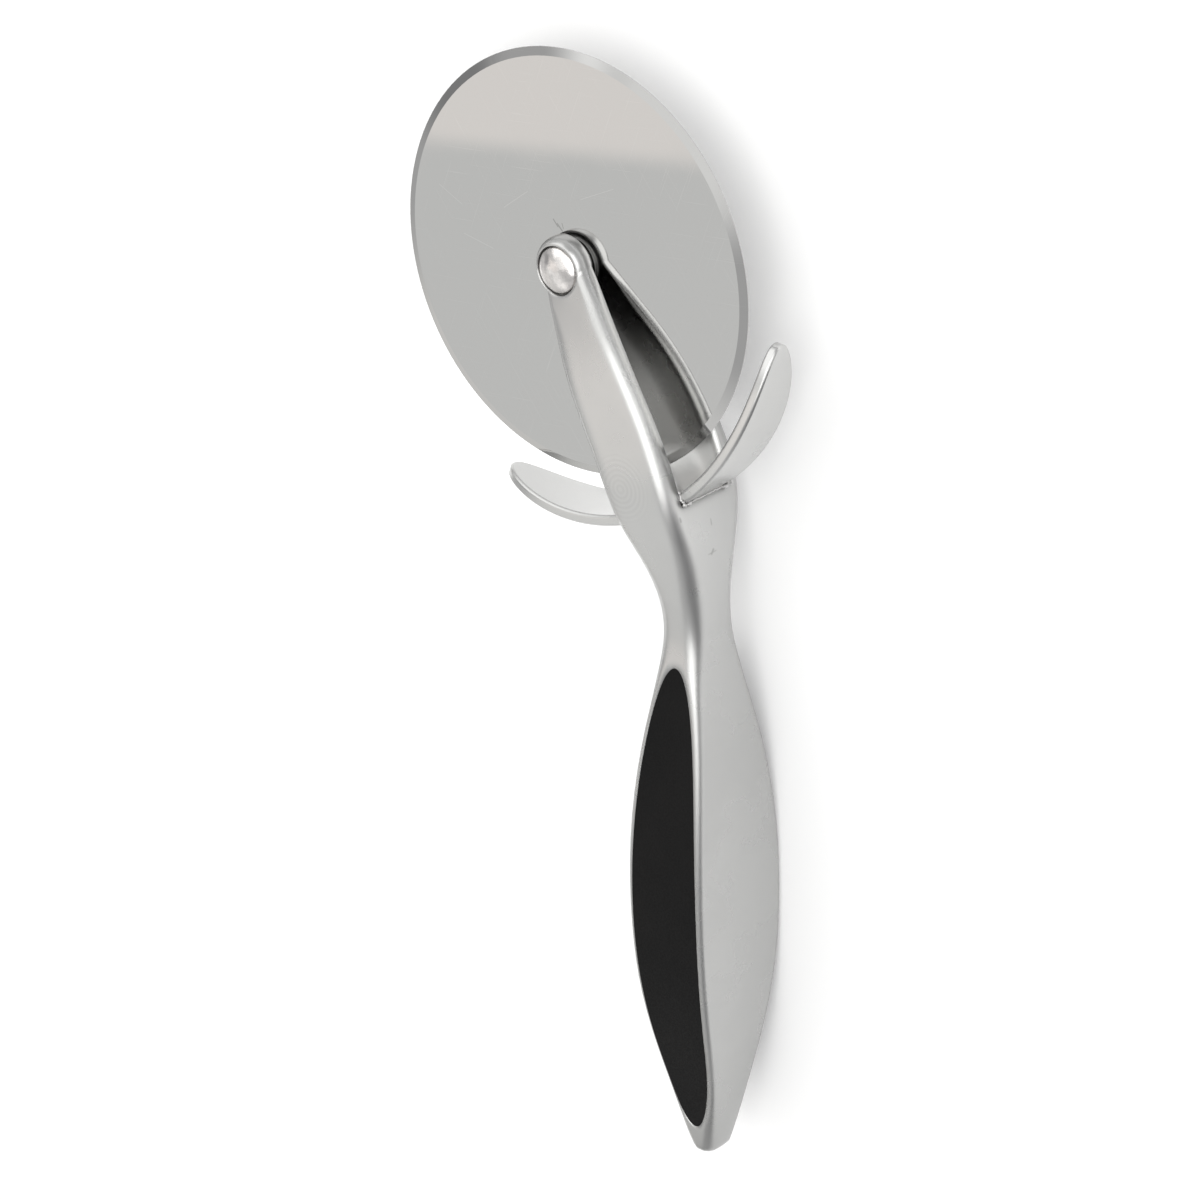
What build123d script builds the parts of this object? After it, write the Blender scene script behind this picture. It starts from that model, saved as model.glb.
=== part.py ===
from build123d import *
from math import cos, radians, sin, tan
import os

os.makedirs("parts", exist_ok=True)

# Cutting wheel
wheel_diameter = 80.0
wheel_thickness = 1.2
bevel_width = 1.6
edge_land = 0.2

# Axle stack, from the wheel outwards
running_fit = 0.08
axial_play = 0.15
washer_diameter = 9.0
washer_thickness = 0.3
boss_diameter = 9.8
seat_wall = 2.35
counterbore_depth = 2.2

# Two-piece rivet
barrel_diameter = 5.0
bore_fit = 0.04
pin_diameter = 3.2
pin_fit = 0.03
pin_end_gap = 0.5
head_diameter = 8.7
head_gap = 0.3
head_rim = 1.45
head_edge_size = 0.2
dome_height = 1.2

# Line of the handle: a straight fork, a bend and a straight grip
fork_angle = 32.0
fork_reach = 49.9
bend_radius = 85.0
grip_reach = 131.5

# Fork, shoulder and neck
eye_diameter = 12.0
eye_edge_radius = 3.0
neck_place = 72.0
shoulder_width = 16.3
shoulder_thickness = 20.7
slot_draft = 5.0
neck_corner_size = 2.8

# Grip
belly_width = 18.2
belly_thickness = 24.3
side_crown = 0.5
facet_share = 0.366
tail_edge_share = 0.0176

# Inlay panels
inlay_length = 96.6
inlay_width = 15.1
inlay_thickness = 1.4
inlay_reach = 76.7
inlay_gap = 0.05
peg_diameter = 3.0
peg_spacing = 50.0
peg_seat = 6.0

# Finger guard
guard_gap = 5.7
guard_thickness = 2.1
guard_width = 13.2
guard_seat_gap = 0.05
guard_angle = 30.7
guard_reach = 52.6
guard_taper_length = 27.5
guard_overlength = 12.0
guard_edge_size = 0.4

# Length by which a cutting solid runs past what it cuts
overrun = 3.0

# Sections of the casting from the eye to the neck, as shares of neck_place, shoulder_width,
# shoulder_thickness and neck_corner_size
fork_section_shares = (
    (0.000, 0.67, 0.390, 0.56),
    (0.111, 0.78, 0.610, 0.56),
    (0.222, 0.90, 0.780, 0.56),
    (0.333, 0.98, 0.890, 0.56),
    (0.444, 1.00, 0.955, 0.56),
    (0.556, 0.98, 1.000, 0.56),
    (0.667, 0.93, 0.950, 0.66),
    (0.778, 0.81, 0.765, 0.90),
    (0.889, 0.65, 0.625, 1.00),
    (1.000, 0.59, 0.585, 0.80),
)

# Sections of the casting from the neck to the tail, as shares of the grip's length,
# belly_width, belly_thickness and neck_corner_size
grip_section_shares = (
    (0.049, 0.565, 0.555, 0.65),
    (0.160, 0.763, 0.723, 0.46),
    (0.280, 0.926, 0.884, 0.35),
    (0.400, 0.996, 0.981, 0.31),
    (0.520, 0.998, 0.995, 0.31),
    (0.640, 0.953, 0.915, 0.33),
    (0.760, 0.822, 0.728, 0.39),
    (0.870, 0.609, 0.514, 0.45),
    (0.940, 0.435, 0.407, 0.54),
    (1.000, 0.270, 0.290, 0.68),
)

# Half opening of the slot at its ridge, from the eye to the guard, as shares of the
# crotch's radius and of half the slot's width, which is the guard's seat
slot_gap_shares = (
    (0.00, 0.21),
    (0.08, 0.28),
    (0.18, 0.44),
    (0.34, 0.68),
    (0.51, 0.87),
    (0.68, 0.94),
    (0.85, 0.97),
    (1.00, 1.00),
)

# Wheel, axle stack and crotch
wheel_radius = wheel_diameter / 2
barrel_radius = barrel_diameter / 2
head_radius = head_diameter / 2
boss_face = wheel_thickness / 2 + axial_play + washer_thickness
head_seat = boss_face + seat_wall
head_shoulder = head_seat + head_rim
head_top = head_shoulder + dome_height
eye_face = head_seat + counterbore_depth
guard_inner_radius = wheel_radius + guard_gap
crotch_radius = guard_inner_radius + guard_thickness
slot_width = guard_width + 2 * guard_seat_gap

# Spine of the casting, measured along its line from the hub
turn = radians(fork_angle)
tangent_length = bend_radius * tan(turn / 2)
spine_length = fork_reach + grip_reach - 2 * tangent_length + bend_radius * turn
grip_length = spine_length - neck_place
tail_edge_radius = tail_edge_share * grip_length

# The origin is the middle of the base of the whole cutter as it lies on its side
guard_turn = radians(guard_angle)
tip_below_hub = crotch_radius * sin(guard_turn + radians(guard_reach))
hub_x = (fork_reach * cos(turn) + grip_reach - wheel_radius) / 2
hub_y = (tip_below_hub - wheel_radius) / 2
middle_z = belly_thickness / 2

axle = Vector(0, 0, 1)
hub = Vector(hub_x, hub_y, middle_z)
fork_direction = Vector(-cos(turn), -sin(turn), 0)
fork_side = fork_direction.cross(axle)
guard_direction = Vector(-cos(guard_turn), -sin(guard_turn), 0)
crossing = hub + fork_direction * fork_reach
tail = crossing - Vector(grip_reach, 0, 0)
inlay_centre = crossing - Vector(inlay_reach, 0, 0)

wheel_plane = Plane(hub, x_dir=fork_direction, z_dir=axle)
fork_plane = Plane(hub, x_dir=fork_direction, z_dir=fork_side)
guard_plane = Plane(hub, x_dir=guard_direction, z_dir=axle)
grip_side_plane = Plane(tail, x_dir=(1, 0, 0), z_dir=(0, -1, 0))

with BuildLine() as spine:
    FilletPolyline(hub, crossing, tail, radius=bend_radius)
spine_wire = spine.wire()


def spine_plane(place):
    """Plane square to the spine, with its Y along the axle."""
    point = spine_wire.position_at(place, position_mode=PositionMode.LENGTH)
    tangent = spine_wire.tangent_at(place, position_mode=PositionMode.LENGTH)
    return Plane(point, x_dir=axle.cross(tangent), z_dir=tangent)


def casting_section(place, width, thickness, corner):
    """Rectangle with crowned sides, and with each corner eased by two facets."""
    side = width / 2
    face = thickness / 2
    edge = side - side_crown * thickness / belly_thickness
    inset = corner * facet_share
    quarter = [(edge - corner, face), (edge - inset, face - inset), (edge, face - corner)]
    with BuildSketch(spine_plane(place)) as section:
        with BuildLine():
            for x_sign, y_sign in ((1, 1), (-1, 1), (-1, -1), (1, -1)):
                Polyline([(x_sign * x, y_sign * y) for x, y in quarter])
            for x_sign in (1, -1):
                Line((-edge + corner, x_sign * face), (edge - corner, x_sign * face))
                ThreePointArc(
                    (x_sign * edge, face - corner),
                    (x_sign * side, 0),
                    (x_sign * edge, corner - face),
                )
        make_face()
    return section.sketch


def casting_sections():
    """Sections from the eye, past the shoulder and the neck, to the tail."""
    sections = []
    for place, width, thickness, corner in fork_section_shares:
        sections.append(
            casting_section(
                place * neck_place,
                width * shoulder_width,
                thickness * shoulder_thickness,
                corner * neck_corner_size,
            )
        )
    for place, width, thickness, corner in grip_section_shares:
        sections.append(
            casting_section(
                neck_place + place * grip_length,
                width * belly_width,
                thickness * belly_thickness,
                corner * neck_corner_size,
            )
        )
    return sections


def slot_profile(offset):
    """Side profile of the slot, wider the further it lies from the parting plane."""
    draft = abs(offset) * tan(radians(slot_draft))
    start = -eye_diameter / 2 - overrun
    end = crotch_radius + overrun
    upper = [(place * crotch_radius, gap * slot_width / 2 + draft) for place, gap in slot_gap_shares]
    lower = [(along, -gap) for along, gap in upper]
    first_gap = upper[0][1]
    last_gap = upper[-1][1]
    with BuildSketch(fork_plane.offset(offset)) as profile:
        with BuildLine():
            Line((start, -first_gap), (start, first_gap))
            Line((start, first_gap), upper[0])
            Spline(*upper)
            Line(upper[-1], (end, last_gap))
            Line((end, last_gap), (end, -last_gap))
            Line((end, -last_gap), lower[-1])
            Spline(*lower)
            Line(lower[0], (start, -first_gap))
        make_face()
    return profile.sketch


def inlay_space(side, gap):
    """Oval panel with two pegs, on one side of the middle, larger all round by the gap."""
    plane = Plane(inlay_centre, x_dir=(1, 0, 0), z_dir=(0, 0, side))
    with BuildPart() as space:
        with BuildSketch(plane):
            Ellipse(inlay_length / 2 + gap, inlay_width / 2 + gap)
        extrude(amount=belly_thickness)
        add(inlay_core.part, mode=Mode.SUBTRACT)
        with BuildSketch(plane.offset(peg_seat - gap)):
            with GridLocations(peg_spacing, 0, 2, 1):
                Circle(peg_diameter / 2 + gap)
        extrude(amount=belly_thickness - peg_seat + gap)
    return space.part


# Slot: two drafted halves that meet in a ridge, ended by a floor that runs round the wheel
with BuildPart() as fork_slot:
    slot_reach = shoulder_width / 2 + overrun
    loft([slot_profile(-slot_reach), slot_profile(0), slot_profile(slot_reach)], ruled=True)
    with BuildSketch(wheel_plane.offset(-shoulder_thickness / 2)):
        Circle(crotch_radius)
    extrude(amount=shoulder_thickness, mode=Mode.INTERSECT)

# Pair of eyes, joined until the slot parts them
with BuildPart() as eye_pair:
    with BuildSketch(wheel_plane):
        Circle(eye_diameter / 2)
    extrude(amount=eye_face, both=True)
    fillet(eye_pair.edges().filter_by(GeomType.CIRCLE), eye_edge_radius)

# Solid form of the casting, before anything is cut into it
with BuildPart() as casting_blank:
    loft(casting_sections())
    tail_face = casting_blank.faces().sort_by(Axis.X)[0]
    fillet(tail_face.edges(), tail_edge_radius)

# What lies under the inlays: the grip's side profile, lowered by the panel's thickness
with BuildPart() as inlay_core:
    neck_thickness = fork_section_shares[-1][2] * shoulder_thickness
    upper_floor = [(grip_length, neck_thickness / 2 - inlay_thickness)]
    for place, width, thickness, corner in grip_section_shares[:-1]:
        height = thickness * belly_thickness / 2 - inlay_thickness
        upper_floor.append((grip_length * (1 - place), height))
    lower_floor = [(along, -height) for along, height in upper_floor]
    with BuildSketch(grip_side_plane):
        with BuildLine():
            Spline(*upper_floor)
            Line(upper_floor[-1], lower_floor[-1])
            Spline(*lower_floor)
            Line(lower_floor[0], upper_floor[0])
        make_face()
    extrude(amount=belly_width / 2 + overrun, both=True)

# Handle casting
with BuildPart() as handle_body:
    add(casting_blank.part)
    add(eye_pair.part)
    add(fork_slot.part, mode=Mode.SUBTRACT)
    for side in (1, -1):
        eye_plane = Plane(hub, x_dir=fork_direction, z_dir=(0, 0, side))
        with BuildSketch(eye_plane.offset(boss_face)):
            Circle(boss_diameter / 2)
        extrude(amount=head_seat - boss_face)
        with BuildSketch(eye_plane.offset(head_seat)):
            Circle(head_radius + head_gap)
        extrude(amount=counterbore_depth + overrun, mode=Mode.SUBTRACT)
        add(inlay_space(side, inlay_gap), mode=Mode.SUBTRACT)
    with BuildSketch(wheel_plane):
        Circle(barrel_radius + bore_fit)
    extrude(amount=eye_face, both=True, mode=Mode.SUBTRACT)
handle_body.part.label = "handle_body"
export_step(handle_body.part, "parts/handle_body.step")

# Inlay panels, flush with the casting
for side, name in ((1, "inlay_upper"), (-1, "inlay_lower")):
    with BuildPart() as inlay:
        add(inlay_space(side, 0))
        add(casting_blank.part, mode=Mode.INTERSECT)
    inlay.part.label = name
    export_step(inlay.part, f"parts/{name}.step")

# Finger guard: a strip bent round the wheel, with half-oval ends cut square to the strip
with BuildPart() as finger_guard:
    strip_end = guard_reach + guard_overlength
    with BuildSketch(guard_plane):
        with BuildLine():
            inner = CenterArc((0, 0), guard_inner_radius, -strip_end, 2 * strip_end)
            outer = CenterArc((0, 0), crotch_radius, -strip_end, 2 * strip_end)
            Line(inner @ 0, outer @ 0)
            Line(inner @ 1, outer @ 1)
        make_face()
    extrude(amount=guard_width / 2, both=True)
    for side in (1, -1):
        end_direction = guard_direction.rotate(Axis.Z, side * guard_reach)
        end_plane = Plane(hub, x_dir=axle.cross(end_direction) * side, z_dir=end_direction)
        with BuildSketch(end_plane):
            with Locations((crotch_radius - guard_taper_length, 0)):
                Rectangle(2 * crotch_radius, guard_width + overrun)
            with Locations((-guard_taper_length, 0)):
                Ellipse(guard_taper_length, guard_width / 2, mode=Mode.SUBTRACT)
        extrude(amount=crotch_radius + overrun, mode=Mode.SUBTRACT)
    chamfer(finger_guard.edges().filter_by(GeomType.LINE, reverse=True), guard_edge_size)
finger_guard.part.label = "finger_guard"
export_step(finger_guard.part, "parts/finger_guard.step")

# Cutting wheel, ground to a bevel on both faces
with BuildPart() as cutting_wheel:
    hole_radius = barrel_radius + running_fit
    flat_radius = wheel_radius - bevel_width
    face = wheel_thickness / 2
    land = edge_land / 2
    with BuildSketch(fork_plane):
        with BuildLine():
            Polyline(
                (hole_radius, -face),
                (flat_radius, -face),
                (wheel_radius, -land),
                (wheel_radius, land),
                (flat_radius, face),
                (hole_radius, face),
                close=True,
            )
        make_face()
    revolve(axis=Axis(hub, axle))
cutting_wheel.part.label = "cutting_wheel"
export_step(cutting_wheel.part, "parts/cutting_wheel.step")

# Washers, one against each boss
for side, name in ((1, "washer_upper"), (-1, "washer_lower")):
    washer_plane = Plane(hub, x_dir=fork_direction, z_dir=(0, 0, side))
    with BuildPart() as washer:
        with BuildSketch(washer_plane.offset(boss_face - washer_thickness)):
            Circle(washer_diameter / 2)
            Circle(barrel_radius + running_fit, mode=Mode.SUBTRACT)
        extrude(amount=washer_thickness)
    washer.part.label = name
    export_step(washer.part, f"parts/{name}.step")

# Rivet barrel: the tubular half, which is the axle, with its domed head
with BuildPart() as rivet_barrel:
    bore_radius = pin_diameter / 2 + pin_fit
    with BuildSketch(fork_plane) as profile:
        with BuildLine():
            TangentArc((0, head_top), (head_radius, head_shoulder), tangent=(1, 0))
            Polyline(
                (head_radius, head_shoulder),
                (head_radius, head_seat),
                (barrel_radius, head_seat),
                (barrel_radius, -head_seat),
                (bore_radius, -head_seat),
                (bore_radius, head_seat),
                (0, head_seat),
                (0, head_top),
            )
        make_face()
        rim = profile.vertices().sort_by_distance((head_radius, head_shoulder))[0]
        chamfer(rim, head_edge_size)
    revolve(axis=Axis(hub, axle))
rivet_barrel.part.label = "rivet_barrel"
export_step(rivet_barrel.part, "parts/rivet_barrel.step")

# Rivet pin: the solid half, pressed into the barrel from below
with BuildPart() as rivet_pin:
    pin_radius = pin_diameter / 2
    pin_end = head_seat - pin_end_gap
    with BuildSketch(fork_plane) as profile:
        with BuildLine():
            TangentArc((0, -head_top), (head_radius, -head_shoulder), tangent=(1, 0))
            Polyline(
                (head_radius, -head_shoulder),
                (head_radius, -head_seat),
                (pin_radius, -head_seat),
                (pin_radius, pin_end),
                (0, pin_end),
                (0, -head_top),
            )
        make_face()
        rim = profile.vertices().sort_by_distance((head_radius, -head_shoulder))[0]
        chamfer(rim, head_edge_size)
    revolve(axis=Axis(hub, axle))
rivet_pin.part.label = "rivet_pin"
export_step(rivet_pin.part, "parts/rivet_pin.step")
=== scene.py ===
# %% [markdown]
# # A pizza cutter with a forked handle
#
# The cutter is a mirror-bright steel wheel that spins on a rivet between two cast arms.
# Its solids come ready made from the drawing, in one frame: X along the grip towards the
# wheel, Z along the axle, and the floor at zero. This lesson dresses them: a finish for
# every piece, the small weld beads that the drawing leaves out, and then the floor, the
# light and the camera.

import math
import random

import bmesh
import bpy
from mathutils import Matrix, Vector


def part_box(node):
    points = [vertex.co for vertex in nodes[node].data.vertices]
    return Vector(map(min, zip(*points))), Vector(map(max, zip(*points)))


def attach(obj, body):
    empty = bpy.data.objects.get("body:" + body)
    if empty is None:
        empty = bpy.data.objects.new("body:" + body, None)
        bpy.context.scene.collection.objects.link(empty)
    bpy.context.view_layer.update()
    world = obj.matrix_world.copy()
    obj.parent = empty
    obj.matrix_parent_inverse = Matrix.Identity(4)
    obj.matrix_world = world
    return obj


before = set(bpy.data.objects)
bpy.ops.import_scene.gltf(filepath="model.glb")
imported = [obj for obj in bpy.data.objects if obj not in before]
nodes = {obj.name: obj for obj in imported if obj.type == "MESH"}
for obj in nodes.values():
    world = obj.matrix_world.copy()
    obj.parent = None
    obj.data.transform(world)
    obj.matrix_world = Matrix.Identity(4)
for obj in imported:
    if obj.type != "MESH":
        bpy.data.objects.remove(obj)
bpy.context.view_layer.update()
millimetre = 0.001
print("pieces in the drawing:", sorted(nodes))

# %% [markdown]
# ## Where the hub is
#
# Everything that is added sits on a solid, so its place is worked out from the solids'
# boxes. The middle of the wheel's box is the hub. The weld beads are laid out round it, the
# casting's finish changes with the distance from it, and the camera is placed from it.

# %% Hub
wheel_low, wheel_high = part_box("cutting_wheel")
hub = (wheel_low + wheel_high) / 2
wheel_radius = (wheel_high.x - wheel_low.x) / 2
print("hub at", [round(value, 5) for value in hub], "wheel radius", round(wheel_radius, 5))

# %% [markdown]
# ## Tools for building a finish
#
# A finish here is a Principled shader with procedural textures in Object coordinates. Those
# are metres, so a texture's scale is a count per metre. A few short helpers keep the node
# trees readable. Most add one kind of node, link what they are given and hand back the
# socket that the next step needs.

# %% Nodes and sums


def add_node(tree, kind, sockets=None, **settings):
    """Node with its settings, and with each named socket linked or given a value."""
    node = tree.nodes.new("ShaderNode" + kind)
    for name, value in settings.items():
        setattr(node, name, value)
    for name, value in (sockets or {}).items():
        if isinstance(value, bpy.types.NodeSocket):
            tree.links.new(value, node.inputs[name])
        else:
            node.inputs[name].default_value = value
    return node


def calculate(tree, operation, *values, clamp=False):
    """Output of a Math node."""
    sockets = dict(enumerate(values))
    return add_node(tree, "Math", sockets, operation=operation, use_clamp=clamp).outputs[0]


def vector_dot(tree, first, second):
    """Dot product of two vectors."""
    node = add_node(tree, "VectorMath", {0: first, 1: second}, operation="DOT_PRODUCT")
    return node.outputs["Value"]


def distance_between(tree, first, second):
    """Distance between two points."""
    node = add_node(tree, "VectorMath", {0: first, 1: second}, operation="DISTANCE")
    return node.outputs["Value"]


def scale_vector(tree, vector, factor):
    """Vector or colour times a number."""
    node = add_node(tree, "VectorMath", {0: vector, "Scale": factor}, operation="SCALE")
    return node.outputs[0]


print("helpers for sums: calculate, vector_dot, distance_between and scale_vector")

# %% Ramps, blends and surface directions


def ramp(tree, value, low, high, low_result=0.0, high_result=1.0):
    """Smooth step of a value between two limits."""
    limits = {"From Min": low, "From Max": high, "To Min": low_result, "To Max": high_result}
    sockets = {"Value": value, **limits}
    return add_node(tree, "MapRange", sockets, interpolation_type="SMOOTHSTEP").outputs["Result"]


def blend_colours(tree, factor, first, second):
    """Mix of two colours."""
    node = add_node(tree, "Mix", {"Factor": factor}, data_type="RGBA")
    for socket, colour in ((node.inputs[6], first), (node.inputs[7], second)):
        if isinstance(colour, bpy.types.NodeSocket):
            tree.links.new(colour, socket)
        else:
            socket.default_value = (*colour, 1.0)
    return node.outputs[2]


def soft_corner(tree, radius, samples):
    """Bevel node, which turns the shading smoothly across a corner."""
    return add_node(tree, "Bevel", {"Radius": radius}, samples=samples)


def bump(tree, height, depth, corner=None):
    """Surface direction with a small relief, over a soft corner where one is given."""
    sockets = {"Height": height, "Distance": depth}
    if corner:
        sockets["Normal"] = corner.outputs["Normal"]
    return add_node(tree, "Bump", sockets).outputs["Normal"]


print("helpers for surfaces: ramp, blend_colours, soft_corner and bump")

# %% Groups and materials


def new_group(name, inputs, outputs):
    """Empty node group with named sockets, and its two end nodes."""
    group = bpy.data.node_groups.new(name, "ShaderNodeTree")
    for label, kind in inputs:
        group.interface.new_socket(label, in_out="INPUT", socket_type=kind)
    for label in outputs:
        group.interface.new_socket(label, in_out="OUTPUT", socket_type="NodeSocketFloat")
    return group, group.nodes.new("NodeGroupInput"), group.nodes.new("NodeGroupOutput")


def place_group(tree, group, values):
    """Outputs of a group placed in a tree, with a value for each of its inputs."""
    node = tree.nodes.new("ShaderNodeGroup")
    node.node_tree = group
    for name, value in values.items():
        node.inputs[name].default_value = value
    return node.outputs


def new_material(name, colour, metallic, roughness):
    """Material with a Principled shader, its tree and its shader."""
    material = bpy.data.materials.new(name)
    material.use_nodes = True
    shader = material.node_tree.nodes["Principled BSDF"]
    shader.inputs["Base Color"].default_value = (*colour, 1.0)
    shader.inputs["Metallic"].default_value = metallic
    shader.inputs["Roughness"].default_value = roughness
    return material, material.node_tree, shader


def feed(tree, shader, sources):
    """Links a source to each named socket of a shader."""
    for name, source in sources.items():
        tree.links.new(source, shader.inputs[name])


def dress(material, *pieces):
    """Gives pieces one material."""
    for piece in pieces:
        piece.data.materials.clear()
        piece.data.materials.append(material)
        print(piece.name, "wears", material.name)


print("helpers for finishes: new_group, place_group, new_material, feed and dress")

# %% [markdown]
# ## Grain, blotches and hair scratches
#
# The finishes here draw on the same three things at different strengths: a fine grain, soft
# blotches where hands have been, and hair scratches. Painted maps would do, but noise needs
# no map and has no seams. The scratches are noise stretched along a line, cut at a high
# level so that only thin streaks are left, in three directions. All three effects share one
# node group, and each finish decides what to do with them.

# %% Group for surface marks
grain_detail = 3.0
blotch_detail = 4.0
blotch_roughness = 0.6
blotch_limits = (0.32, 0.68)

marks, marks_entry, marks_exit = new_group(
    "surface_marks",
    [(label, "NodeSocketFloat") for label in ("Grain Scale", "Blotch Scale", "Scratch Scale")],
    ["Grain", "Blotches", "Scratches"],
)
marks_place = add_node(marks, "TexCoord").outputs["Object"]
grain_noise = add_node(
    marks,
    "TexNoise",
    {"Vector": marks_place, "Scale": marks_entry.outputs["Grain Scale"], "Detail": grain_detail},
)
blotch_noise = add_node(
    marks,
    "TexNoise",
    {
        "Vector": marks_place,
        "Scale": marks_entry.outputs["Blotch Scale"],
        "Detail": blotch_detail,
        "Roughness": blotch_roughness,
    },
)
blotches = ramp(marks, blotch_noise.outputs["Fac"], *blotch_limits)
marks.links.new(grain_noise.outputs["Fac"], marks_exit.inputs["Grain"])
marks.links.new(blotches, marks_exit.inputs["Blotches"])
print("nodes in", marks.name, "before its scratches:", len(marks.nodes))

# %% Scratches in three directions
scratch_turns = (0.4, 1.5, 2.5)
scratch_stretch = (0.012, 1.0, 0.012)
scratch_detail = 1.0
scratch_waver = 0.3
scratch_limits = (0.70, 0.74)

scratches = None
for scratch_turn in scratch_turns:
    turning = {"Vector": marks_place, "Rotation": (0.0, 0.0, scratch_turn)}
    turned = add_node(marks, "Mapping", turning).outputs[0]
    stretching = {"Vector": turned, "Scale": scratch_stretch}
    stretched = add_node(marks, "Mapping", stretching).outputs[0]
    streaks = add_node(
        marks,
        "TexNoise",
        {
            "Vector": stretched,
            "Scale": marks_entry.outputs["Scratch Scale"],
            "Detail": scratch_detail,
            "Distortion": scratch_waver,
        },
    )
    layer = ramp(marks, streaks.outputs["Fac"], *scratch_limits)
    scratches = layer if scratches is None else calculate(marks, "MAXIMUM", scratches, layer)
marks.links.new(scratches, marks_exit.inputs["Scratches"])


def surface_marks(tree, grain, blotch, scratch):
    """Outputs of the shared marks in a material, with their scales per metre."""
    values = {"Grain Scale": grain, "Blotch Scale": blotch, "Scratch Scale": scratch}
    return place_group(tree, marks, values)


print("nodes in", marks.name, "with its scratches:", len(marks.nodes))

# %% [markdown]
# ## Single strokes
#
# A few marks have a place of their own: three scuffs beside the eye and four hairlines on
# the wheel, and four nicks on the neck. Each is the set of points near a short line, so one
# group measures the distance to a line and fades it out. It is given the line's start and
# its course, which is the way from the start to the end.

# %% Group for a stroke
stroke_group, stroke_entry, stroke_exit = new_group(
    "stroke",
    [("Start", "NodeSocketVector"), ("Course", "NodeSocketVector"), ("Width", "NodeSocketFloat")],
    ["Mask"],
)
stroke_place = add_node(stroke_group, "TexCoord").outputs["Object"]
stroke_course = stroke_entry.outputs["Course"]
stroke_offset = add_node(
    stroke_group,
    "VectorMath",
    {0: stroke_place, 1: stroke_entry.outputs["Start"]},
    operation="SUBTRACT",
).outputs[0]
stroke_share = calculate(
    stroke_group,
    "DIVIDE",
    vector_dot(stroke_group, stroke_offset, stroke_course),
    vector_dot(stroke_group, stroke_course, stroke_course),
    clamp=True,
)
stroke_nearest = scale_vector(stroke_group, stroke_course, stroke_share)
stroke_distance = distance_between(stroke_group, stroke_offset, stroke_nearest)
stroke_width = stroke_entry.outputs["Width"]
stroke_mask = ramp(stroke_group, stroke_distance, 0.0, stroke_width, 1.0, 0.0)
stroke_group.links.new(stroke_mask, stroke_exit.inputs["Mask"])


def add_strokes(tree, strokes):
    """Mask of some strokes, each with its start, end and width in millimetres."""
    combined = None
    for start, end, width in strokes:
        values = {
            "Start": Vector(start) * millimetre,
            "Course": (Vector(end) - Vector(start)) * millimetre,
            "Width": width * millimetre,
        }
        mask = place_group(tree, stroke_group, values)["Mask"]
        combined = mask if combined is None else calculate(tree, "MAXIMUM", combined, mask)
    return combined


print("nodes in", stroke_group.name, "group:", len(stroke_group.nodes))

# %% [markdown]
# ## Satin metal
#
# The handle is cast, blasted with fine beads and plated, which gives an even satin grey with
# no colour of its own, and the guard and the washers are much the same. A metallic shader at
# middling roughness spreads a lamp into a wide soft band. The blotches move the colour and
# the roughness a little, as handling does, and the grain is a bump of less than a thousandth
# of a millimetre.
#
# The drawing eases each corner with two flat facets, where the real corner is round. The
# Bevel node turns the shading smoothly from face to face within its radius, so the facets
# read as one soft corner without another point in the mesh.

# %% Satin metal
satin_blotch_scale = 60.0
satin_scratch_scale = 2600.0
satin_blotch_share = 0.6
satin_scratch_share = 0.05
satin_grain_depth = 0.0008 * millimetre
satin_corner_samples = 8


def satin_metal(name, light, dark, roughness_range, grain_scale, corner_radius):
    """Blasted metal with handling marks and soft corners, with the nodes to build on."""
    smoothest, roughest = roughness_range
    material, tree, shader = new_material(name, light, metallic=1.0, roughness=roughest)
    seen = surface_marks(tree, grain_scale, satin_blotch_scale, satin_scratch_scale)
    handled = calculate(tree, "MULTIPLY", seen["Blotches"], satin_blotch_share)
    tone = calculate(tree, "MULTIPLY_ADD", seen["Scratches"], satin_scratch_share, handled)
    colour = blend_colours(tree, tone, light, dark)
    corner = soft_corner(tree, corner_radius, satin_corner_samples)
    sources = {
        "Base Color": colour,
        "Roughness": ramp(tree, seen["Blotches"], 0.0, 1.0, smoothest, roughest),
        "Normal": bump(tree, seen["Grain"], satin_grain_depth, corner),
    }
    feed(tree, shader, sources)
    return {"material": material, "tree": tree, "shader": shader, "colour": colour, "corner": corner}


print("satin grain is", satin_grain_depth / millimetre, "mm deep")

# %% Guard
blasted_grain_scale = 2200.0
satin_guard = satin_metal(
    "satin_guard",
    light=(0.60, 0.60, 0.592),
    dark=(0.57, 0.57, 0.563),
    roughness_range=(0.22, 0.28),
    grain_scale=blasted_grain_scale,
    corner_radius=0.5 * millimetre,
)
dress(satin_guard["material"], nodes["finger_guard"])

# %% [markdown]
# ## The casting's corners
#
# The casting has more to show than the other satin pieces. Its corners are rounder on the
# arms than on the grip, and sharpest at the eyes. One radius for all of it would blur the
# eyes, so the Bevel node's radius changes over the surface: with the place along the grip,
# and with the distance from the hub.

# %% Casting and its corners
x_axis = (1.0, 0.0, 0.0)
grip_corner = 1.7 * millimetre
arm_corner = 3.4 * millimetre
eye_corner = 0.8 * millimetre
neck_zone = (-15.0 * millimetre, 20.0 * millimetre)
eye_zone = (7.5 * millimetre, 14.0 * millimetre)

casting = satin_metal(
    "satin_casting",
    light=(0.570, 0.570, 0.563),
    dark=(0.540, 0.540, 0.534),
    roughness_range=(0.26, 0.30),
    grain_scale=blasted_grain_scale,
    corner_radius=arm_corner,
)
casting_tree = casting["tree"]
casting_coordinates = add_node(casting_tree, "TexCoord")
casting_place = casting_coordinates.outputs["Object"]
from_hub = distance_between(casting_tree, casting_place, hub)
along_grip = vector_dot(casting_tree, casting_place, x_axis)

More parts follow.
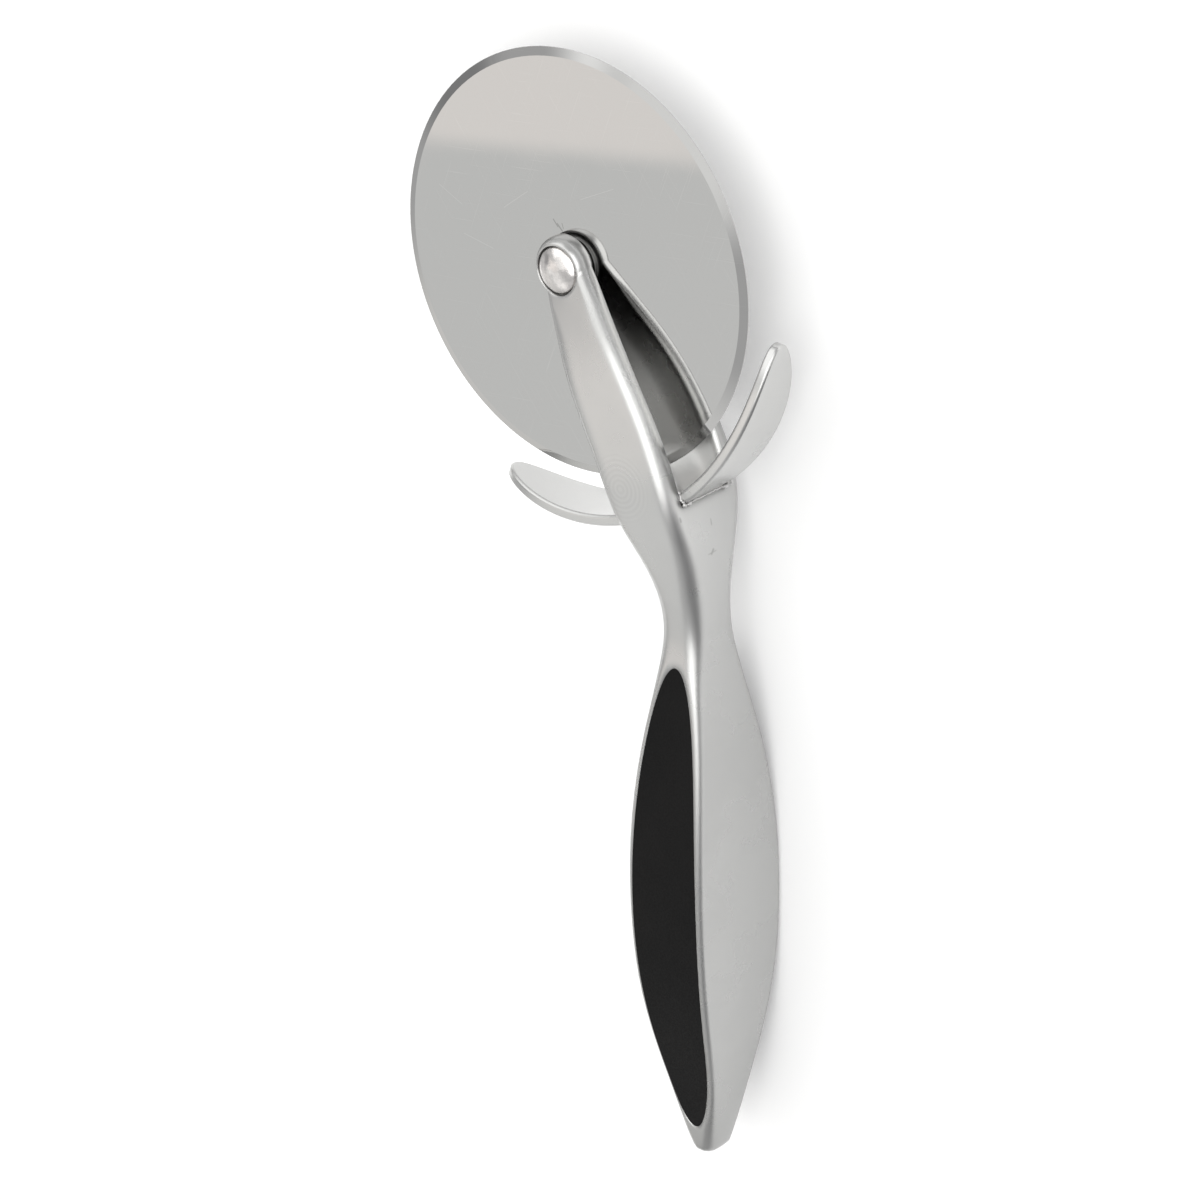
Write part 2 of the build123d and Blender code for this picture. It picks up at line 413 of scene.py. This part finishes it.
handle_corner = ramp(casting_tree, along_grip, *neck_zone, grip_corner, arm_corner)
hub_corner = ramp(casting_tree, from_hub, *eye_zone, eye_corner, arm_corner)
casting_corner = calculate(casting_tree, "MINIMUM", handle_corner, hub_corner)
casting_tree.links.new(casting_corner, casting["corner"].inputs["Radius"])
print("casting's corner at the eye", eye_corner / millimetre, "mm")
print("casting's corner on the arm", arm_corner / millimetre, "mm")

# %% [markdown]
# ## The casting's painted shade and light, and rings
#
# Inside the slot the colour is darkened near the hub as painted shade, and lightened towards
# the crotch as painted light. The grip and the tail are darkened as painted shade, which dims
# the floor that they mirror, and one arm carries faint rings left by the polishing wheel. Each
# of these could be a colour of its own, but as a number that changes over the surface it can
# be multiplied with the others into one shade, which then scales the satin colour.
#
# The slot's faces are the ones that look back at the wheel's plane. Above that plane they
# face down and below it they face up, so the upward part of the surface's direction, times
# the side that it is on, is near -1 there and near +1 on the arms' outer faces.

# %% Painted shade and light inside the slot
z_axis = (0.0, 0.0, 1.0)
slot_facing = (-0.8, -0.5)
slot_end = (60.0 * millimetre, 64.0 * millimetre)
slot_zone = (13.0 * millimetre, 30.0 * millimetre)
slot_painted_shade_and_light = (0.35, 1.45)

casting_height = vector_dot(casting_tree, casting_place, z_axis)
above_wheel = calculate(casting_tree, "SUBTRACT", casting_height, hub.z)
side_of_wheel = calculate(casting_tree, "SIGN", above_wheel)
looking_up = vector_dot(casting_tree, casting_coordinates.outputs["Normal"], z_axis)
looking_out = calculate(casting_tree, "MULTIPLY", looking_up, side_of_wheel)
looking_back = ramp(casting_tree, looking_out, *slot_facing, 1.0, 0.0)
before_slot_end = ramp(casting_tree, from_hub, *slot_end, 1.0, 0.0)
in_slot = calculate(casting_tree, "MULTIPLY", looking_back, before_slot_end)

# Painted shade on the slot's faces near the hub, and painted light towards the crotch.
painted_slot_level = ramp(casting_tree, from_hub, *slot_zone, *slot_painted_shade_and_light)
painted_slot_change = calculate(casting_tree, "SUBTRACT", painted_slot_level, 1.0)
painted_slot_shade_and_light = calculate(casting_tree, "MULTIPLY_ADD", painted_slot_change, in_slot, 1.0)
print("slot's shade at the hub and at the crotch:", slot_painted_shade_and_light)

# %% Painted shade on the grip and the tail, and rings on the arm
grip_zone = (-20.0 * millimetre, 30.0 * millimetre)
grip_painted_shade_level = 0.86
tail_zone = (-107.0 * millimetre, -75.0 * millimetre)
tail_painted_shade_level = 0.84
ring_centre = Vector((30.66, -14.15, 22.5)) * millimetre
ring_spacing = 0.95 * millimetre
ring_zone = (3.6 * millimetre, 8.0 * millimetre)
ring_strength = 0.032

# Painted shade: the grip and the tail are darkened, which dims the floor that they mirror.
painted_grip_shade = ramp(casting_tree, along_grip, *grip_zone, grip_painted_shade_level, 1.0)
painted_tail_shade = ramp(casting_tree, along_grip, *tail_zone, tail_painted_shade_level, 1.0)
from_ring = distance_between(casting_tree, casting_place, ring_centre)
ring_turn = calculate(casting_tree, "MULTIPLY", from_ring, 2.0 * math.pi / ring_spacing)
ring_wave = calculate(casting_tree, "SINE", ring_turn)
ring_depth = ramp(casting_tree, from_ring, *ring_zone, ring_strength, 0.0)
ring_shade = calculate(casting_tree, "MULTIPLY_ADD", ring_wave, ring_depth, 1.0)
print("rings", ring_spacing / millimetre, "mm apart")

# %% Colour of the casting
nick_colour = (0.16, 0.155, 0.15)
nick_strength = 0.45
neck_nicks = (
    ((27.1, -26.0, 20.1), (26.4, -26.0, 20.0), 0.35),
    ((24.6, -26.7, 12.6), (23.6, -26.9, 12.6), 0.26),
    ((18.9, -27.4, 12.9), (18.3, -27.5, 13.4), 0.45),
    ((18.5, -27.4, 12.1), (18.4, -27.5, 14.3), 0.18),
)

# The painted shade and light of the slot, the grip and the tail, times the rings, scale the satin
# colour.
painted_shade_and_rings = painted_slot_shade_and_light
for shade in (painted_grip_shade, painted_tail_shade, ring_shade):
    painted_shade_and_rings = calculate(casting_tree, "MULTIPLY", painted_shade_and_rings, shade)
colour_with_painted_shade_and_rings = scale_vector(casting_tree, casting["colour"], painted_shade_and_rings)
nicks = add_strokes(casting_tree, neck_nicks)
nicked = calculate(casting_tree, "MULTIPLY", nicks, nick_strength)
casting_colour = blend_colours(casting_tree, nicked, colour_with_painted_shade_and_rings, nick_colour)
feed(casting_tree, casting["shader"], {"Base Color": casting_colour})
dress(casting["material"], nodes["handle_body"])

# %% [markdown]
# ## Mirror steel
#
# The wheel is polished until it mirrors the room and the arm above it, and use has marked it
# with hair scratches that show only as slightly paler, rougher lines. A very slow bump
# stands for the waviness that keeps even a polished sheet from being a perfect mirror.

# %% Wheel's own strokes
wheel_face = wheel_high.z / millimetre
wheel_scuffs = (
    ((74.6, 7.9, wheel_face), (73.4, 6.9, wheel_face), 0.22),
    ((73.9, 7.0, wheel_face), (72.8, 5.9, wheel_face), 0.28),
    ((74.2, 5.9, wheel_face), (73.3, 5.6, wheel_face), 0.15),
)
wheel_hairlines = (
    ((67.6, 29.9, wheel_face), (66.1, 22.9, wheel_face), 0.16),
    ((74.6, 19.7, wheel_face), (78.7, 13.9, wheel_face), 0.14),
    ((79.6, 1.2, wheel_face), (83.0, -6.5, wheel_face), 0.12),
    ((76.0, 35.5, wheel_face), (73.2, 30.1, wheel_face), 0.13),
)
print("strokes on the wheel:", len(wheel_scuffs) + len(wheel_hairlines))

# %% Wheel steel
steel_colour = (0.530, 0.528, 0.522)
scratched_colour = (0.74, 0.74, 0.73)
scuffed_colour = (0.16, 0.16, 0.15)
scratch_strength = 0.10
hairline_strength = 0.18
scuff_strength = 0.5
steel_roughness = (0.015, 0.03)
scratched_roughness = 0.25
steel_wave_depth = 0.0004 * millimetre

wheel_steel, wheel_tree, wheel_shader = new_material(
    "mirror_steel", steel_colour, metallic=1.0, roughness=steel_roughness[1]
)
wheel_marks = surface_marks(wheel_tree, grain=900.0, blotch=45.0, scratch=5200.0)
all_over = calculate(wheel_tree, "MULTIPLY", wheel_marks["Scratches"], scratch_strength)
hairlines = add_strokes(wheel_tree, wheel_hairlines)
hairlines = calculate(wheel_tree, "MULTIPLY", hairlines, hairline_strength)
lines = calculate(wheel_tree, "MAXIMUM", all_over, hairlines)
lined = blend_colours(wheel_tree, lines, steel_colour, scratched_colour)
scuffs = calculate(wheel_tree, "MULTIPLY", add_strokes(wheel_tree, wheel_scuffs), scuff_strength)
wheel_colour = blend_colours(wheel_tree, scuffs, lined, scuffed_colour)
polished = ramp(wheel_tree, wheel_marks["Blotches"], 0.0, 1.0, *steel_roughness)
wheel_rough = calculate(wheel_tree, "MULTIPLY_ADD", lines, scratched_roughness, polished)
wheel_waves = bump(wheel_tree, wheel_marks["Blotches"], steel_wave_depth)
wheel_sources = {"Base Color": wheel_colour, "Roughness": wheel_rough, "Normal": wheel_waves}
feed(wheel_tree, wheel_shader, wheel_sources)
dress(wheel_steel, nodes["cutting_wheel"])

# %% [markdown]
# ## Rivet, washers and inlays
#
# The rivet's domed heads are polished stainless steel with smudges, so their blotches change
# the colour, the roughness and the relief together. The washers are plain sheet steel. The
# grip's inlays are matte charcoal plastic with a fine pebble, which is a noise bump on a
# rough surface with little sheen.

# %% Rivet
rivet_plain = (0.62, 0.60, 0.595)
rivet_bright = (0.90, 0.865, 0.845)
rivet_smudged = (0.60, 0.585, 0.575)
rivet_roughness = (0.07, 0.22)
rivet_corner_radius = 0.35 * millimetre
smudge_depth = 0.02 * millimetre

rivet_steel, rivet_tree, rivet_shader = new_material(
    "polished_rivet", rivet_plain, metallic=1.0, roughness=0.10
)
rivet_marks = surface_marks(rivet_tree, grain=2500.0, blotch=380.0, scratch=5000.0)
smudges = rivet_marks["Blotches"]
rivet_corner = soft_corner(rivet_tree, rivet_corner_radius, samples=6)
rivet_sources = {
    "Base Color": blend_colours(rivet_tree, smudges, rivet_bright, rivet_smudged),
    "Roughness": ramp(rivet_tree, smudges, 0.0, 1.0, *rivet_roughness),
    "Normal": bump(rivet_tree, smudges, smudge_depth, rivet_corner),
}
feed(rivet_tree, rivet_shader, rivet_sources)
dress(rivet_steel, nodes["rivet_barrel"], nodes["rivet_pin"])

# %% Washers
thin_corner = 0.1 * millimetre
washer_steel = satin_metal(
    "washer_steel",
    light=(0.80, 0.80, 0.79),
    dark=(0.70, 0.70, 0.69),
    roughness_range=(0.25, 0.40),
    grain_scale=6000.0,
    corner_radius=thin_corner,
)
dress(washer_steel["material"], nodes["washer_upper"], nodes["washer_lower"])

# %% Inlay plastic
charcoal_deep = (0.0052, 0.0051, 0.0052)
charcoal_pale = (0.0070, 0.0067, 0.0067)
charcoal_sheen = 0.10
charcoal_roughness = (0.5, 0.7)
pebble_limits = (0.3, 0.7)
pebble_depth = 0.03 * millimetre

charcoal, charcoal_tree, charcoal_shader = new_material(
    "charcoal_inlay", charcoal_deep, metallic=0.0, roughness=0.6
)
charcoal_marks = surface_marks(charcoal_tree, grain=3200.0, blotch=55.0, scratch=1800.0)
pebble = charcoal_marks["Grain"]
worn = charcoal_marks["Blotches"]
charcoal_sources = {
    "Base Color": blend_colours(charcoal_tree, worn, charcoal_deep, charcoal_pale),
    "Roughness": ramp(charcoal_tree, pebble, *pebble_limits, *charcoal_roughness),
    "Normal": bump(charcoal_tree, pebble, pebble_depth),
}
feed(charcoal_tree, charcoal_shader, charcoal_sources)
charcoal_shader.inputs["Specular IOR Level"].default_value = charcoal_sheen
dress(charcoal, nodes["inlay_upper"], nodes["inlay_lower"])

# %% [markdown]
# ## Weld beads
#
# The guard is a separate strip, welded into the fork's crotch at its four corners and along
# the two seams where it leaves the casting. A weld is a row of frozen puddles, so each bead
# is a chain of small balls with a little seeded disorder, fused into one skin by a Remesh
# modifier. Sculpting by hand would look no better at this size and could not be repeated.
#
# The guard is curved about the axle. A point of a bead is therefore given by three steps
# from a corner of the strip: outward from the axle in millimetres, away from the guard's
# middle in degrees, and away from the wheel's plane in millimetres.

# %% Bead paths
guard_angle = 30.7
crotch_clearance = 7.8
crotch_radius = wheel_radius / millimetre + crotch_clearance
strip_half_width = 6.6
seam_angles = (7.3, -11.15)
seam_inset = 1.6
corner_path = (
    (-2.5, 0.6, 0.15),
    (-1.2, 0.45, 0.2),
    (0.1, 0.1, 0.05),
    (0.25, -0.1, -0.9),
    (0.2, -0.15, -2.2),
)
seam_path = (
    (0.15, -0.1, -seam_inset),
    (0.15, -0.1, -strip_half_width),
    (0.15, -0.1, seam_inset - 2 * strip_half_width),
)


def seam_point(seam_angle, outward, turned, raised, side):
    """Point near a corner of the strip, in metres; the sides are +1 above and -1 below."""
    away = math.copysign(1.0, seam_angle)
    angle = math.radians(180.0 + guard_angle + seam_angle + away * turned)
    radius = (crotch_radius + outward) * millimetre
    height = side * (strip_half_width + raised) * millimetre
    return hub + Vector((radius * math.cos(angle), radius * math.sin(angle), height))


print("beads lie about", round(crotch_radius, 2), "mm from the axle")

# %% Chains of balls, with their sizes in millimetres
bead_seed = 7
corner_bead = {"spacing": 0.42, "smallest": 0.26, "largest": 0.48, "scatter": 0.16}
seam_bead = {"spacing": 0.3, "smallest": 0.16, "largest": 0.24, "scatter": 0.06}


def add_chain(shell, points, bead, draw):
    """Balls of varied size along a path, a little out of line."""
    sizes = {name: size * millimetre for name, size in bead.items()}
    scatter = sizes["scatter"]
    for start, end in zip(points, points[1:]):
        count = max(1, round((end - start).length / sizes["spacing"]))
        for index in range(count):
            centre = start.lerp(end, index / count)
            shift = Vector([draw.uniform(-scatter, scatter) for _ in range(3)])
            radius = draw.uniform(sizes["smallest"], sizes["largest"])
            ball_place = Matrix.Translation(centre + shift)
            bmesh.ops.create_icosphere(shell, subdivisions=2, radius=radius, matrix=ball_place)


draw = random.Random(bead_seed)
bead_shell = bmesh.new()
for seam_angle in seam_angles:
    for side in (1, -1):
        corner_points = [seam_point(seam_angle, *step, side) for step in corner_path]
        add_chain(bead_shell, corner_points, corner_bead, draw)
    seam_points = [seam_point(seam_angle, *step, 1) for step in seam_path]
    add_chain(bead_shell, seam_points, seam_bead, draw)
bead_mesh = bpy.data.meshes.new("weld_beads")
bead_shell.to_mesh(bead_mesh)
bead_shell.free()
print("points in the balls:", len(bead_mesh.vertices))

# %% Weld beads in one skin
bead_voxel = 0.08 * millimetre
weld_beads = bpy.data.objects.new("weld_beads", bead_mesh)
bpy.context.scene.collection.objects.link(weld_beads)
bead_skin = weld_beads.modifiers.new("fuse", "REMESH")
bead_skin.mode = "VOXEL"
bead_skin.voxel_size = bead_voxel
bead_skin.use_smooth_shade = True
bead_soften = weld_beads.modifiers.new("soften", "SMOOTH")
bead_soften.iterations = 2

weld_metal = satin_metal(
    "weld_metal",
    light=(0.66, 0.655, 0.65),
    dark=(0.50, 0.495, 0.49),
    roughness_range=(0.28, 0.40),
    grain_scale=3500.0,
    corner_radius=thin_corner,
)
dress(weld_metal["material"], weld_beads)
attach(weld_beads, "handle")

# %% [markdown]
# ## Floor
#
# The cutter lies on a white light table: a diffuse sheet that glows a little, so that
# shadows stay faint. It glows more in front of the wheel, which is what brightens the side
# of the arm that mirrors it, and in a small patch under the wheel's rim, which lights the
# guard and the slot from below.

# %% Light table
floor_half = 3.0
floor_mesh = bpy.data.meshes.new("floor")
floor_shell = bmesh.new()
bmesh.ops.create_grid(floor_shell, x_segments=1, y_segments=1, size=floor_half)
floor_shell.to_mesh(floor_mesh)
floor_shell.free()
floor = bpy.data.objects.new("floor", floor_mesh)
bpy.context.scene.collection.objects.link(floor)
print("table", 2 * floor_half, "m across")

# %% Glow of the table
table_white = (0.70, 0.70, 0.70)
no_glow = (0.0, 0.0, 0.0)
full_glow = (1.0, 1.0, 1.0)
front = (0.55, -0.83, 0.0)
front_zone = (0.04, 0.35)
front_levels = (0.30, 1.0)
patch_centre = (0.035, 0.015, 0.0)
patch_zone = (0.010, 0.045)
patch_level = 0.45

table, table_tree, table_shader = new_material(
    "light_table", table_white, metallic=0.0, roughness=0.9
)
table_place = add_node(table_tree, "TexCoord").outputs["Object"]
towards_front = vector_dot(table_tree, table_place, front)
front_glow = ramp(table_tree, towards_front, *front_zone, *front_levels)
from_patch = distance_between(table_tree, table_place, patch_centre)
patch_glow = ramp(table_tree, from_patch, *patch_zone, patch_level, 0.0)
table_glow = calculate(table_tree, "ADD", front_glow, patch_glow)
glow_colour = blend_colours(table_tree, table_glow, no_glow, full_glow)
feed(table_tree, table_shader, {"Emission Color": glow_colour})
table_shader.inputs["Emission Strength"].default_value = 1.0
dress(table, floor)

# %% [markdown]
# ## Studio light
#
# What a polished object shows is its room, so the room is as simple as it can be: a grey
# tent with soft panels. Lamps would light the cutter too, but each would show in the wheel
# as a hard shape. The panels are painted into the world by direction instead, which gives
# soft light with little noise and edges as soft as wanted. One group measures how far a
# direction lies inside a rectangular panel.

# %% Group for a soft panel
least_ahead = 0.01
horizon = 0.02
panel_sides = (
    ("Right", "Half Width", "Width Softness"),
    ("Up", "Half Height", "Height Softness"),
)
panel_directions = ("Towards", "Right", "Up")
panel_sizes = ("Half Width", "Half Height", "Width Softness", "Height Softness")
panel_group, panel_entry, panel_exit = new_group(
    "soft_panel",
    [(label, "NodeSocketVector") for label in panel_directions]
    + [(label, "NodeSocketFloat") for label in panel_sizes],
    ["Inside"],
)
sky_direction = add_node(panel_group, "TexCoord").outputs["Generated"]
ahead = vector_dot(panel_group, sky_direction, panel_entry.outputs["Towards"])
ahead_safe = calculate(panel_group, "MAXIMUM", ahead, least_ahead)
inside = calculate(panel_group, "GREATER_THAN", ahead, horizon)
for side_name, half_name, softness_name in panel_sides:
    half = panel_entry.outputs[half_name]
    softness = panel_entry.outputs[softness_name]
    sideways = vector_dot(panel_group, sky_direction, panel_entry.outputs[side_name])
    slope = calculate(panel_group, "DIVIDE", sideways, ahead_safe)
    offset = calculate(panel_group, "ABSOLUTE", slope)
    outer = calculate(panel_group, "ADD", half, softness)
    inner = calculate(panel_group, "SUBTRACT", half, softness)
    within = ramp(panel_group, offset, inner, outer, 1.0, 0.0)
    inside = calculate(panel_group, "MULTIPLY", inside, within)
panel_group.links.new(inside, panel_exit.inputs["Inside"])
print("nodes in", panel_group.name, "group:", len(panel_group.nodes))

# %% [markdown]
# ## The sheet in the wheel
#
# The wheel shows one straight, softened line, where it mirrors the lower edge of a bright
# sheet. The sheet is therefore placed by that edge. Its middle leans up from the edge by ten
# degrees, and its half height spans the same ten degrees, so the edge stays where it was put.

# %% Sheet that the wheel mirrors
sheet_edge = Vector((-0.309, 0.631, 0.711)).normalized()
sheet_up = Vector((0.943, 0.107, 0.315)).normalized()
sheet_lean = math.radians(10.0)
sheet_centre = sheet_edge * math.cos(sheet_lean) + sheet_up * math.sin(sheet_lean)
sheet_half_height = math.tan(sheet_lean)
print("sheet towards", [round(value, 3) for value in sheet_centre])

# %% [markdown]
# ## Tent and panels
#
# Each panel has a direction from the cutter to its middle and a direction that is up on it.
# Its half width and half height are slopes, and so is the softness of its sides and of its
# ends. The back panels are what the wheel and the arms' flat faces mirror towards the
# camera. The two dark ones keep the corners from looking flat, and the strongest, beside
# the camera, lights the corners that face it.

# %% Panels, each over the ones before it
y_axis = (0.0, 1.0, 0.0)
panels = {
    "low back": ((-0.60, 0.77, 0.22), z_axis, (0.26, 0.24), (0.12, 0.12), (0.93, 0.92, 0.90)),
    "middle back": ((-0.36, 0.60, 0.70), z_axis, (0.45, 0.32), (0.12, 0.12), (0.90, 0.905, 0.895)),
    "left back": ((-0.66, 0.44, 0.60), z_axis, (0.26, 0.30), (0.14, 0.14), (0.98, 0.98, 0.97)),
    "top": ((0.12, 0.29, 0.95), y_axis, (0.30, 0.22), (0.10, 0.10), (1.15, 1.15, 1.14)),
    "sheet": (sheet_centre, sheet_up, (0.26, sheet_half_height), (0.08, 0.003), (1.18, 1.135, 1.10)),
    "dark back": ((-0.05, 0.89, 0.46), z_axis, (0.16, 0.13), (0.08, 0.08), (0.34, 0.34, 0.345)),
    "wheel side": ((0.604, 0.507, 0.616), z_axis, (0.40, 0.42), (0.10, 0.10), (1.6, 1.6, 1.59)),
    "dark left": ((-0.55, -0.72, 0.45), z_axis, (0.50, 0.40), (0.20, 0.20), (0.26, 0.26, 0.265)),
    "camera side": ((0.24, -0.36, 0.90), z_axis, (0.46, 0.52), (0.14, 0.14), (2.6, 2.6, 2.58)),
}
print("panels:", ", ".join(panels))

# %% Sky
tent_level = 0.60
world = bpy.data.worlds.new("studio")
bpy.context.scene.world = world
world.use_nodes = True
sky = world.node_tree
background = sky.nodes["Background"]

sky_colour = (tent_level, tent_level, tent_level)
for towards, up, half_sizes, softnesses, colour in panels.values():
    centre = Vector(towards).normalized()
    right = centre.cross(Vector(up)).normalized()
    upright = right.cross(centre).normalized()
    values = dict(zip(panel_directions, (centre, right, upright)))
    values.update(zip(panel_sizes, (*half_sizes, *softnesses)))
    in_panel = place_group(sky, panel_group, values)["Inside"]
    sky_colour = blend_colours(sky, in_panel, sky_colour, colour)
sky.links.new(sky_colour, background.inputs["Color"])
background.inputs["Strength"].default_value = 1.0
bpy.context.scene.view_settings.view_transform = "Standard"
print("nodes in the sky:", len(sky.nodes))

# %% [markdown]
# ## Camera
#
# The camera was matched to the drawing by its wheel and its handle: it looks down at the
# wheel from the front, with a long lens, and the X axis runs nearly straight up the picture.
# The directions to its right, up and back are the columns of its turn.

# %% Camera
camera_offset = Vector((0.2679, -0.5015, 0.5696))
camera_right = Vector((-0.0346, -0.7622, -0.6470))
camera_up = Vector((0.9147, 0.2368, -0.3280))
camera_back = Vector((0.4031, -0.6029, 0.6890))
camera_data = bpy.data.cameras.new("camera")
camera_data.sensor_width = 36.0
camera_data.lens = 133.8
camera = bpy.data.objects.new("camera", camera_data)
bpy.context.scene.collection.objects.link(camera)
bpy.context.scene.camera = camera
camera_turn = Matrix((camera_right, camera_up, camera_back)).transposed().to_4x4()
camera.matrix_world = Matrix.Translation(hub + camera_offset) @ camera_turn
print("camera", round(camera_offset.length, 3), "m from the hub")
